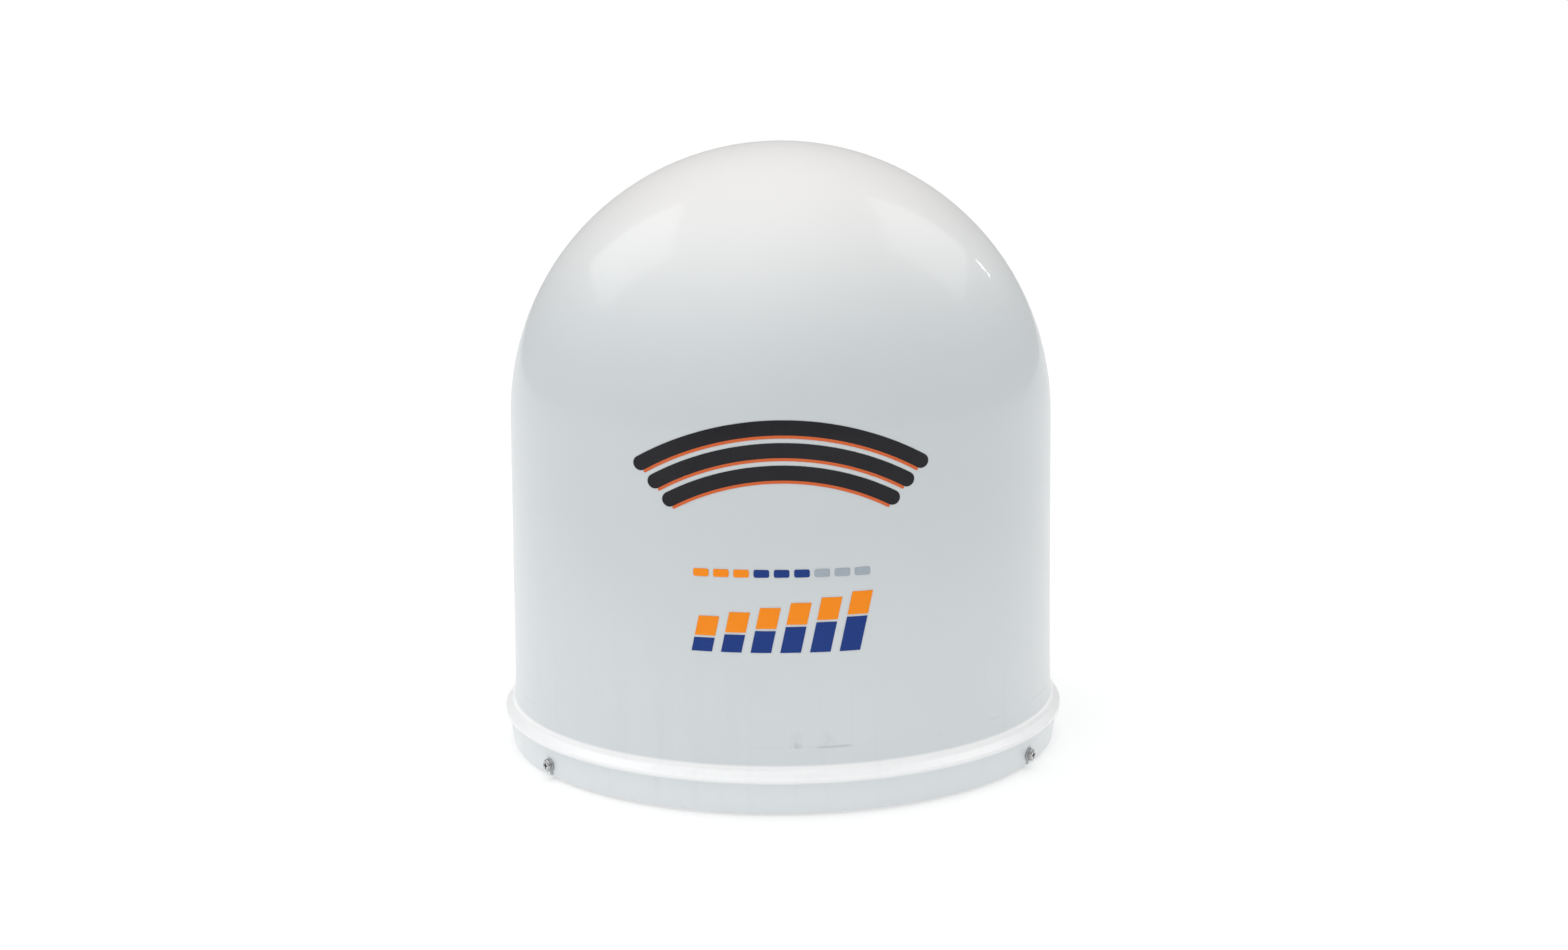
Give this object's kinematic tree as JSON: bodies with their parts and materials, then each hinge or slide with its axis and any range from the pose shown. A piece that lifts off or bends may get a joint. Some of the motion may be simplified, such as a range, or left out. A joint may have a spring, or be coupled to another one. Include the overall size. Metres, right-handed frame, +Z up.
{
  "type": "marine radome antenna",
  "caption": "White domed marine radome on a skirted round base, housing a cellular router with upright aerials; fixed by radial rim screws, cabled through a pocket underneath.",
  "frame": {"origin": "centre of the base's underside, on the mounting plane", "axes": "+Z up through the dome's crown, the marked front faces -Y, the connector pocket is towards +Y"},
  "size_m": [0.3895, 0.3896, 0.4085],
  "materials": {
    "gelcoat_white": "gloss",
    "base_white": "satin",
    "vinyl_dark": "gloss",
    "vinyl_red_orange": "gloss",
    "vinyl_orange": "gloss",
    "vinyl_blue": "gloss",
    "vinyl_grey": "gloss",
    "stainless": "brushed",
    "brass": "machined",
    "nickel": "plated",
    "gold_contact": "plated",
    "aluminium_plate": "brushed",
    "black_rubber": "matt",
    "grey_rubber": "matt",
    "router_plastic": "fine texture",
    "black_plastic": "satin",
    "board_green": "solder mask",
    "tin_shield": "tinned",
    "pad_pink": "matt",
    "heat_sink_black": "anodised",
    "card_white": "satin",
    "light_pipe_clear": "clear",
    "aerial_tube": "fibreglass",
    "lead_jacket": "matt"
  },
  "bodies": {
    "base": {"aerial_jacks": "gold_contact", "base_tray": "base_white", "card_sockets": "black_plastic", "chassis_plate": "aluminium_plate", "chassis_screws": "stainless", "chassis_standoffs": "nickel", "connector_seals": "black_rubber", "ethernet_lead": "lead_jacket", "ethernet_plug": "black_plastic", "ethernet_socket": "nickel", "ground_stud": "stainless", "heat_sink": "heat_sink_black", "lead_clips": "black_plastic", "light_pipe": "light_pipe_clear", "lte_feet": "black_plastic", "lte_ferrules": "nickel", "lte_lead_plugs": "gold_contact", "lte_leads": "lead_jacket", "lte_radiators": "brass", "lte_tubes": "aerial_tube", "main_board": "board_green", "modem_card": "tin_shield", "mounting_inserts": "brass", "panel_jacks": "black_plastic", "panel_nuts": "nickel", "plate_screws": "stainless", "power_inlet": "nickel", "power_lead": "lead_jacket", "power_plug": "black_plastic", "pressure_vent": "black_plastic", "processor_shield": "tin_shield", "radome_screws": "stainless", "reset_switch": "black_plastic", "rim_gasket": "black_rubber", "rim_inserts": "brass", "router_case": "router_plastic", "router_case_screws": "stainless", "router_grommets": "black_rubber", "router_lid": "router_plastic", "router_nuts": "stainless", "screw_washers": "stainless", "thermal_pad": "pad_pink", "wifi_collars": "gold_contact"},
    "radome": {"radome_shell": "gelcoat_white", "signal_arcs_dark": "vinyl_dark", "signal_arcs_orange": "vinyl_red_orange", "signal_bars_orange": "vinyl_orange", "signal_bars_blue": "vinyl_blue", "signal_dashes_grey": "vinyl_grey"},
    "sim_tray_left": {"sim_tray_left": "router_plastic", "sim_card_left": "card_white"},
    "sim_tray_right": {"sim_tray_right": "router_plastic", "sim_card_right": "card_white"},
    "reset_button": {"reset_button": "grey_rubber"},
    "wifi_knuckle_left": {"wifi_knuckle_left": "black_plastic", "wifi_hinge_pin_left": "stainless"},
    "wifi_knuckle_right": {"wifi_knuckle_right": "black_plastic", "wifi_hinge_pin_right": "stainless"},
    "wifi_paddle_left": {"wifi_paddle_left": "black_plastic"},
    "wifi_paddle_right": {"wifi_paddle_right": "black_plastic"}
  },
  "joints": [
    {"name": "radome_lift", "type": "slide", "parent": "base", "child": "radome", "axis": [0, 0, 1], "range_m": [0, 0.32]},
    {"name": "sim_tray_left_slide", "type": "slide", "parent": "base", "child": "sim_tray_left", "axis": [0, -1, 0], "range_m": [0, 0.02]},
    {"name": "sim_tray_right_slide", "type": "slide", "parent": "base", "child": "sim_tray_right", "axis": [0, -1, 0], "range_m": [0, 0.02]},
    {"name": "reset_button_press", "type": "slide", "parent": "base", "child": "reset_button", "axis": [0, 1, 0], "range_m": [0, 0.0008], "stiffness_N_per_m": 300, "springref_m": -0.0005},
    {"name": "wifi_left_swivel", "type": "hinge", "parent": "base", "child": "wifi_knuckle_left", "pos_m": [-0.06, 0.07, 0.086], "axis": [0, 1, 0], "range_deg": [-20, 20]},
    {"name": "wifi_left_tilt", "type": "hinge", "parent": "wifi_knuckle_left", "child": "wifi_paddle_left", "pos_m": [-0.06, 0.07, 0.086], "axis": [-1, 0, 0], "range_deg": [0, 20]},
    {"name": "wifi_right_swivel", "type": "hinge", "parent": "base", "child": "wifi_knuckle_right", "pos_m": [0.06, 0.07, 0.086], "axis": [0, 1, 0], "range_deg": [-20, 20]},
    {"name": "wifi_right_tilt", "type": "hinge", "parent": "wifi_knuckle_right", "child": "wifi_paddle_right", "pos_m": [0.06, 0.07, 0.086], "axis": [-1, 0, 0], "range_deg": [0, 20]}
  ]
}
